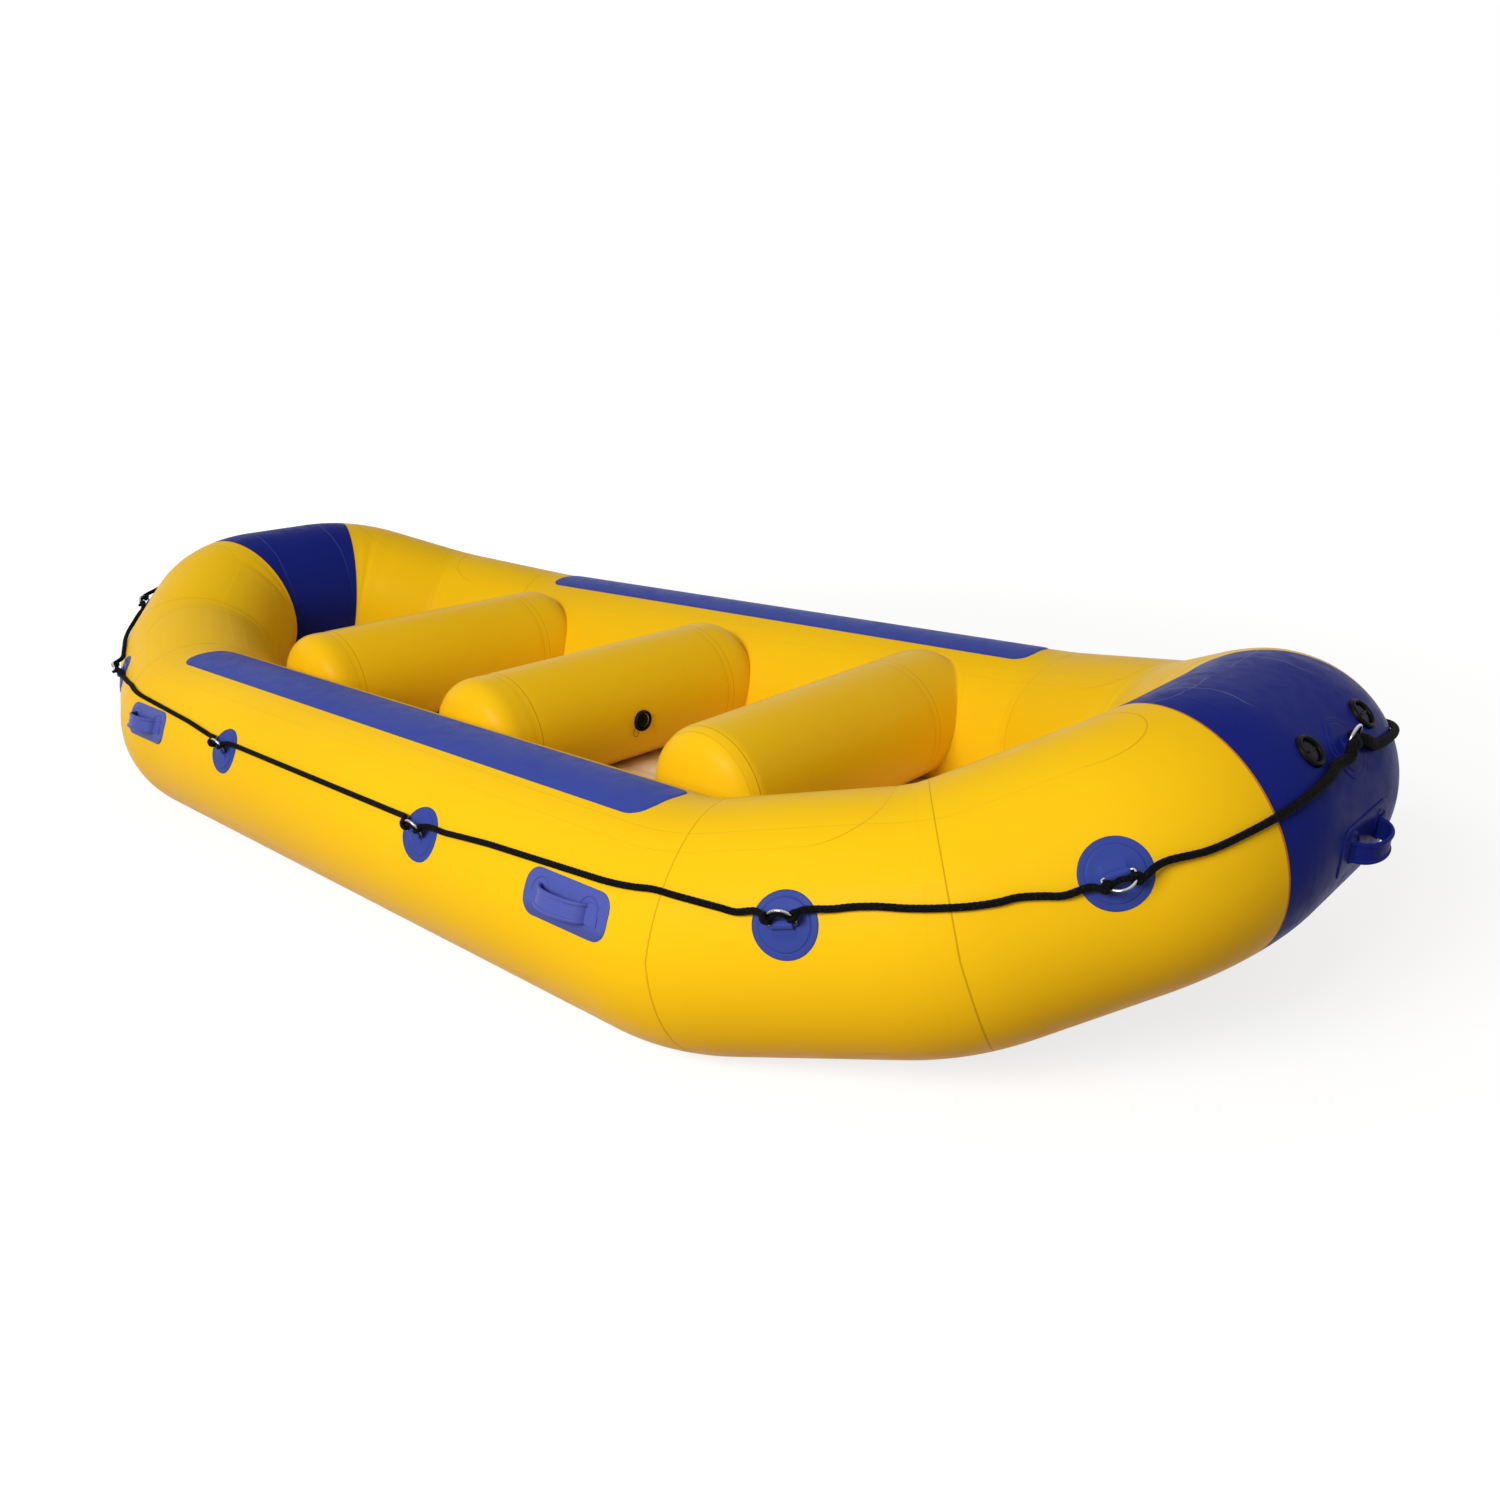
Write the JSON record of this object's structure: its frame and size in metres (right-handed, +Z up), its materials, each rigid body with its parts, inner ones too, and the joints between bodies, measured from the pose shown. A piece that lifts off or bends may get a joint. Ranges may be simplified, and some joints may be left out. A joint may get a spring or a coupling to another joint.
{
  "type": "whitewater raft",
  "caption": "Inflatable whitewater raft with raised ends, cross thwarts, an inflated floor, a grab line through D-rings, strap handles and turn valves.",
  "frame": {"origin": "on the ground under the middle of the raft", "axes": "+X to the bow, +Y to port, +Z up"},
  "size_m": [4.4446, 2.0218, 0.7474],
  "materials": {
    "yellow_pvc": "satin",
    "blue_pvc": "satin",
    "patch_pvc": "satin",
    "floor_pvc": "matte",
    "steel": "polished",
    "black_rope": "braided",
    "black_plastic": "matte"
  },
  "bodies": {
    "raft": {"bow_tube": "blue_pvc", "d_ring_patch_port_mid_bow": "patch_pvc", "d_ring_patch_port_mid_stern": "patch_pvc", "d_ring_patch_port_nose_bow": "patch_pvc", "d_ring_patch_port_nose_stern": "patch_pvc", "d_ring_patch_port_quarter_bow": "patch_pvc", "d_ring_patch_port_quarter_stern": "patch_pvc", "d_ring_patch_starboard_mid_bow": "patch_pvc", "d_ring_patch_starboard_mid_stern": "patch_pvc", "d_ring_patch_starboard_nose_bow": "patch_pvc", "d_ring_patch_starboard_nose_stern": "patch_pvc", "d_ring_patch_starboard_quarter_bow": "patch_pvc", "d_ring_patch_starboard_quarter_stern": "patch_pvc", "floor_panel": "floor_pvc", "grab_rope": "black_rope", "handle_bow": "patch_pvc", "handle_port_bow": "patch_pvc", "handle_port_stern": "patch_pvc", "handle_starboard_bow": "patch_pvc", "handle_starboard_stern": "patch_pvc", "handle_stern": "patch_pvc", "side_tube_port": "yellow_pvc", "side_tube_starboard": "yellow_pvc", "stern_tube": "blue_pvc", "thwart_front": "yellow_pvc", "thwart_middle": "yellow_pvc", "thwart_rear": "yellow_pvc", "valve_body_bow_port": "black_plastic", "valve_body_bow_starboard": "black_plastic", "valve_body_floor": "black_plastic", "valve_body_stern_port": "black_plastic", "valve_body_stern_starboard": "black_plastic", "valve_body_thwart_front": "black_plastic", "valve_body_thwart_middle": "black_plastic", "valve_body_thwart_rear": "black_plastic", "wear_strip_port": "patch_pvc", "wear_strip_starboard": "patch_pvc"},
    "ring_starboard_mid_bow": {"d_ring_starboard_mid_bow": "steel"},
    "ring_starboard_quarter_bow": {"d_ring_starboard_quarter_bow": "steel"},
    "ring_starboard_nose_bow": {"d_ring_starboard_nose_bow": "steel"},
    "ring_bow": {"d_ring_bow": "steel"},
    "ring_port_nose_bow": {"d_ring_port_nose_bow": "steel"},
    "ring_port_quarter_bow": {"d_ring_port_quarter_bow": "steel"},
    "ring_port_mid_bow": {"d_ring_port_mid_bow": "steel"},
    "ring_port_mid_stern": {"d_ring_port_mid_stern": "steel"},
    "ring_port_quarter_stern": {"d_ring_port_quarter_stern": "steel"},
    "ring_port_nose_stern": {"d_ring_port_nose_stern": "steel"},
    "ring_stern": {"d_ring_stern": "steel"},
    "ring_starboard_nose_stern": {"d_ring_starboard_nose_stern": "steel"},
    "ring_starboard_quarter_stern": {"d_ring_starboard_quarter_stern": "steel"},
    "ring_starboard_mid_stern": {"d_ring_starboard_mid_stern": "steel"},
    "cap_bow_starboard": {"valve_cap_bow_starboard": "black_plastic"},
    "cap_bow_port": {"valve_cap_bow_port": "black_plastic"},
    "cap_stern_starboard": {"valve_cap_stern_starboard": "black_plastic"},
    "cap_stern_port": {"valve_cap_stern_port": "black_plastic"},
    "cap_thwart_front": {"valve_cap_thwart_front": "black_plastic"},
    "cap_thwart_middle": {"valve_cap_thwart_middle": "black_plastic"},
    "cap_thwart_rear": {"valve_cap_thwart_rear": "black_plastic"},
    "cap_floor": {"valve_cap_floor": "black_plastic"}
  },
  "joints": [
    {"name": "ring_starboard_mid_bow_swing", "type": "hinge", "parent": "raft", "child": "ring_starboard_mid_bow", "pos_m": [0.49, -0.97612, 0.37636], "axis": [1, 0, 0], "range_deg": [-9, 9]},
    {"name": "ring_starboard_quarter_bow_swing", "type": "hinge", "parent": "raft", "child": "ring_starboard_quarter_bow", "pos_m": [1.48686, -0.8587, 0.41718], "axis": [0.911, 0.3786, 0.1637], "range_deg": [-9, 9]},
    {"name": "ring_starboard_nose_bow_swing", "type": "hinge", "parent": "raft", "child": "ring_starboard_nose_bow", "pos_m": [1.95958, -0.55285, 0.53812], "axis": [0.6802, 0.6534, 0.3323], "range_deg": [-9, 9]},
    {"name": "ring_bow_swing", "type": "hinge", "parent": "raft", "child": "ring_bow", "pos_m": [2.13634, 0, 0.64877], "axis": [0, 1, 0], "range_deg": [-9, 9]},
    {"name": "ring_port_nose_bow_swing", "type": "hinge", "parent": "raft", "child": "ring_port_nose_bow", "pos_m": [1.95958, 0.55285, 0.53812], "axis": [-0.6802, 0.6534, -0.3323], "range_deg": [-9, 9]},
    {"name": "ring_port_quarter_bow_swing", "type": "hinge", "parent": "raft", "child": "ring_port_quarter_bow", "pos_m": [1.48686, 0.8587, 0.41718], "axis": [-0.911, 0.3786, -0.1637], "range_deg": [-9, 9]},
    {"name": "ring_port_mid_bow_swing", "type": "hinge", "parent": "raft", "child": "ring_port_mid_bow", "pos_m": [0.49, 0.97612, 0.37636], "axis": [-1, 0, 0], "range_deg": [-9, 9]},
    {"name": "ring_port_mid_stern_swing", "type": "hinge", "parent": "raft", "child": "ring_port_mid_stern", "pos_m": [-0.49, 0.97612, 0.37636], "axis": [-1, 0, 0], "range_deg": [-9, 9]},
    {"name": "ring_port_quarter_stern_swing", "type": "hinge", "parent": "raft", "child": "ring_port_quarter_stern", "pos_m": [-1.48686, 0.8587, 0.41718], "axis": [-0.911, -0.3786, 0.1637], "range_deg": [-9, 9]},
    {"name": "ring_port_nose_stern_swing", "type": "hinge", "parent": "raft", "child": "ring_port_nose_stern", "pos_m": [-1.95958, 0.55285, 0.53812], "axis": [-0.6802, -0.6534, 0.3323], "range_deg": [-9, 9]},
    {"name": "ring_stern_swing", "type": "hinge", "parent": "raft", "child": "ring_stern", "pos_m": [-2.13634, 0, 0.64877], "axis": [0, -1, 0], "range_deg": [-9, 9]},
    {"name": "ring_starboard_nose_stern_swing", "type": "hinge", "parent": "raft", "child": "ring_starboard_nose_stern", "pos_m": [-1.95958, -0.55285, 0.53812], "axis": [0.6802, -0.6534, -0.3323], "range_deg": [-9, 9]},
    {"name": "ring_starboard_quarter_stern_swing", "type": "hinge", "parent": "raft", "child": "ring_starboard_quarter_stern", "pos_m": [-1.48686, -0.8587, 0.41718], "axis": [0.911, -0.3786, -0.1637], "range_deg": [-9, 9]},
    {"name": "ring_starboard_mid_stern_swing", "type": "hinge", "parent": "raft", "child": "ring_starboard_mid_stern", "pos_m": [-0.49, -0.97612, 0.37636], "axis": [1, 0, 0], "range_deg": [-9, 9]},
    {"name": "cap_bow_starboard_turn", "type": "hinge", "parent": "raft", "child": "cap_bow_starboard", "pos_m": [2.10731, -0.13675, 0.667], "axis": [0.7307, -0.0337, 0.6819], "range_deg": [0, 90]},
    {"name": "cap_bow_port_turn", "type": "hinge", "parent": "raft", "child": "cap_bow_port", "pos_m": [2.10731, 0.13675, 0.667], "axis": [0.7307, 0.0337, 0.6819], "range_deg": [0, 90]},
    {"name": "cap_stern_starboard_turn", "type": "hinge", "parent": "raft", "child": "cap_stern_starboard", "pos_m": [-2.10731, -0.13675, 0.667], "axis": [-0.7307, -0.0337, 0.6819], "range_deg": [0, 90]},
    {"name": "cap_stern_port_turn", "type": "hinge", "parent": "raft", "child": "cap_stern_port", "pos_m": [-2.10731, 0.13675, 0.667], "axis": [-0.7307, 0.0337, 0.6819], "range_deg": [0, 90]},
    {"name": "cap_thwart_front_turn", "type": "hinge", "parent": "raft", "child": "cap_thwart_front", "pos_m": [0.58969, 0.035, 0.31552], "axis": [-0.9962, 0, -0.0872], "range_deg": [0, 90]},
    {"name": "cap_thwart_middle_turn", "type": "hinge", "parent": "raft", "child": "cap_thwart_middle", "pos_m": [0.13031, 0.035, 0.31552], "axis": [0.9962, 0, -0.0872], "range_deg": [0, 90]},
    {"name": "cap_thwart_rear_turn", "type": "hinge", "parent": "raft", "child": "cap_thwart_rear", "pos_m": [-1.18031, 0.035, 0.31552], "axis": [-0.9962, 0, -0.0872], "range_deg": [0, 90]},
    {"name": "cap_floor_turn", "type": "hinge", "parent": "raft", "child": "cap_floor", "pos_m": [-0.525, -0.3, 0.15], "axis": [0, 0, 1], "range_deg": [0, 90]}
  ]
}
